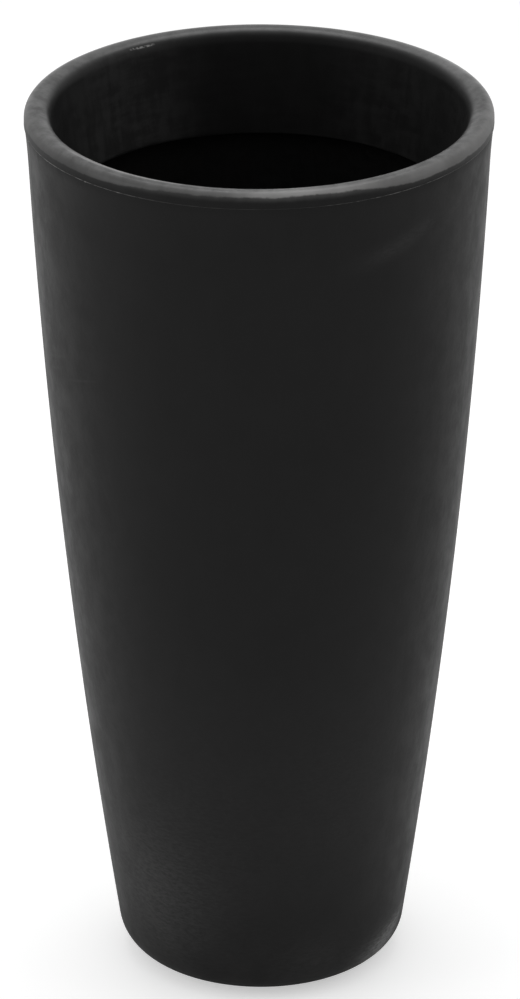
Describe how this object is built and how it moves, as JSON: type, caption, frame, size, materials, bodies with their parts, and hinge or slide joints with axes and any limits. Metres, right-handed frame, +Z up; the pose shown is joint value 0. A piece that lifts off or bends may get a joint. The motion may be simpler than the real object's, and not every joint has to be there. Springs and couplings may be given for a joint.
{
  "type": "tall planter",
  "caption": "Tall round tapered fiberglass planter with a rolled rim, an inner return collar, a removable rubber drain plug and rubber foot pads.",
  "frame": {"origin": "on the ground plane under the feet, at the middle of the planter's footprint", "axes": "+Z up along the planter's axis of revolution, from the feet to the mouth; +X and +Y square to it, with the four feet at 45 degrees between them"},
  "size_m": [0.4, 0.4, 0.8],
  "materials": {
    "shell_gelcoat": "satin",
    "rim_gelcoat": "satin",
    "plug_rubber": "matte",
    "foot_rubber": "matte"
  },
  "bodies": {
    "planter": {"outer_shell": "shell_gelcoat", "rim_collar": "rim_gelcoat", "foot_pad_1": "foot_rubber", "foot_pad_2": "foot_rubber", "foot_pad_3": "foot_rubber", "foot_pad_4": "foot_rubber"},
    "plug": {"drain_plug": "plug_rubber"}
  },
  "joints": [
    {"name": "drain_plug_pull", "type": "slide", "parent": "planter", "child": "plug", "axis": [0, 0, 1], "range_m": [0, 0.82]}
  ]
}
